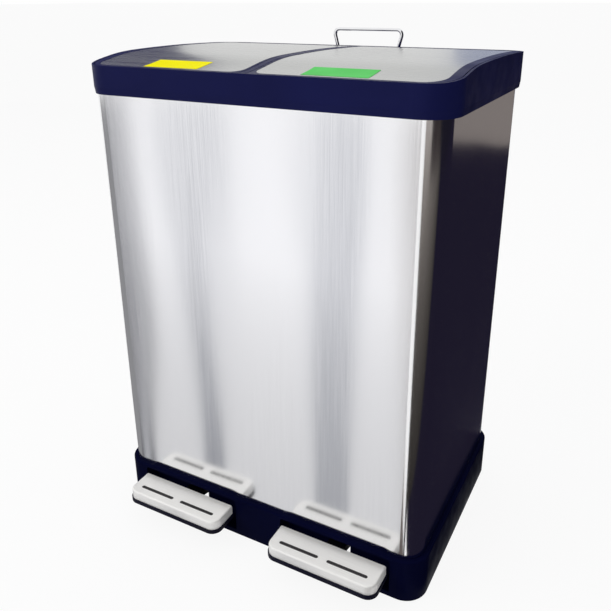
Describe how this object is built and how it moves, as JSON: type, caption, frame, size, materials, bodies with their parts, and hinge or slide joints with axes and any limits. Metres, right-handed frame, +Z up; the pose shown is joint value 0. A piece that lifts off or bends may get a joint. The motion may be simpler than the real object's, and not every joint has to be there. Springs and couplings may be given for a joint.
{
  "type": "double recycling bin",
  "caption": "Free-standing twin pedal bin with lift-out buckets, lids side by side and a folding carrying handle, for sorting kitchen waste.",
  "frame": {"origin": "centre of the bounding box at floor level", "axes": "+X to the right seen from the pedals, +Y from the pedals to the back, +Z up"},
  "size_m": [0.4596, 0.3824, 0.6555],
  "materials": {
    "shell_steel": "brushed vertically",
    "lid_steel": "brushed",
    "pedal_steel": "brushed",
    "navy_plastic": "satin moulded",
    "pedal_plastic": "satin moulded",
    "bucket_plastic": "moulded",
    "yellow_film": "satin film",
    "green_film": "satin film",
    "grip_rubber": "matt",
    "foot_rubber": "matt",
    "zinc_steel": "zinc plated",
    "chrome_wire": "polished",
    "guide_nylon": "natural nylon"
  },
  "bodies": {
    "cabinet": {"body_shell": "shell_steel", "base_moulding": "navy_plastic", "top_collar": "navy_plastic", "foot_front_left": "foot_rubber", "foot_front_right": "foot_rubber", "foot_rear_left": "foot_rubber", "foot_rear_right": "foot_rubber", "base_screws": "zinc_steel", "collar_screws": "zinc_steel", "pedal_axle_left": "zinc_steel", "pedal_axle_right": "zinc_steel", "axle_clips_left": "zinc_steel", "axle_clips_right": "zinc_steel", "rod_cover_left": "navy_plastic", "rod_cover_right": "navy_plastic", "rod_guide_upper_left": "guide_nylon", "rod_guide_upper_right": "guide_nylon", "rod_guide_lower_left": "guide_nylon", "rod_guide_lower_right": "guide_nylon", "lid_hinge_pin_left": "zinc_steel", "lid_hinge_pin_right": "zinc_steel", "lid_bumpers_left": "grip_rubber", "lid_bumpers_right": "grip_rubber", "handle_bracket": "navy_plastic", "handle_bracket_screws": "zinc_steel"},
    "carry_handle": {"carry_handle": "chrome_wire"},
    "lid_left": {"lid_frame_left": "navy_plastic", "lid_panel_left": "lid_steel", "lid_label_left": "yellow_film", "lid_crank_left": "zinc_steel", "lid_crank_pin_left": "zinc_steel", "lid_crank_screws_left": "zinc_steel"},
    "rod_left": {"lift_rod_left": "zinc_steel", "rod_head_left": "zinc_steel", "rod_foot_left": "zinc_steel"},
    "pedal_left": {"pedal_body_left": "pedal_plastic", "pedal_cap_left": "pedal_steel", "pedal_grips_left": "grip_rubber", "pedal_lever_left": "zinc_steel", "pedal_bush_left": "guide_nylon", "pedal_screws_left": "zinc_steel"},
    "bucket_left": {"inner_bucket_left": "bucket_plastic"},
    "lid_right": {"lid_frame_right": "navy_plastic", "lid_panel_right": "lid_steel", "lid_label_right": "green_film", "lid_crank_right": "zinc_steel", "lid_crank_pin_right": "zinc_steel", "lid_crank_screws_right": "zinc_steel"},
    "rod_right": {"lift_rod_right": "zinc_steel", "rod_head_right": "zinc_steel", "rod_foot_right": "zinc_steel"},
    "pedal_right": {"pedal_body_right": "pedal_plastic", "pedal_cap_right": "pedal_steel", "pedal_grips_right": "grip_rubber", "pedal_lever_right": "zinc_steel", "pedal_bush_right": "guide_nylon", "pedal_screws_right": "zinc_steel"},
    "bucket_right": {"inner_bucket_right": "bucket_plastic"}
  },
  "joints": [
    {"name": "lid_left_hinge", "type": "hinge", "parent": "cabinet", "child": "lid_left", "pos_m": [-0.1126, 0.15885, 0.62294], "axis": [-1, 0, 0], "range_deg": [0, 80]},
    {"name": "rod_left_slide", "type": "slide", "parent": "cabinet", "child": "rod_left", "axis": [0, 0, 1], "range_m": [0, 0.0232]},
    {"name": "pedal_left_hinge", "type": "hinge", "parent": "cabinet", "child": "pedal_left", "pos_m": [-0.1126, -0.0327, 0.022], "axis": [1, 0, 0], "range_deg": [0, 7.49]},
    {"name": "bucket_left_lift", "type": "slide", "parent": "cabinet", "child": "bucket_left", "axis": [0, 0, 1], "range_m": [0, 0.014]},
    {"name": "lid_right_hinge", "type": "hinge", "parent": "cabinet", "child": "lid_right", "pos_m": [0.1126, 0.15885, 0.62294], "axis": [-1, 0, 0], "range_deg": [0, 80]},
    {"name": "rod_right_slide", "type": "slide", "parent": "cabinet", "child": "rod_right", "axis": [0, 0, 1], "range_m": [0, 0.0232]},
    {"name": "pedal_right_hinge", "type": "hinge", "parent": "cabinet", "child": "pedal_right", "pos_m": [0.1126, -0.0327, 0.022], "axis": [1, 0, 0], "range_deg": [0, 7.49]},
    {"name": "bucket_right_lift", "type": "slide", "parent": "cabinet", "child": "bucket_right", "axis": [0, 0, 1], "range_m": [0, 0.014]},
    {"name": "carry_handle_fold", "type": "hinge", "parent": "cabinet", "child": "carry_handle", "pos_m": [0, 0.1857, 0.612], "axis": [-1, 0, 0], "range_deg": [0, 175]}
  ],
  "couplings": [
    {"joint": "rod_left_slide", "follows": "lid_left_hinge", "m_per_rad": 0.016573},
    {"joint": "pedal_left_hinge", "follows": "lid_left_hinge", "ratio": 0.093321},
    {"joint": "rod_right_slide", "follows": "lid_right_hinge", "m_per_rad": 0.016573},
    {"joint": "pedal_right_hinge", "follows": "lid_right_hinge", "ratio": 0.093321}
  ]
}
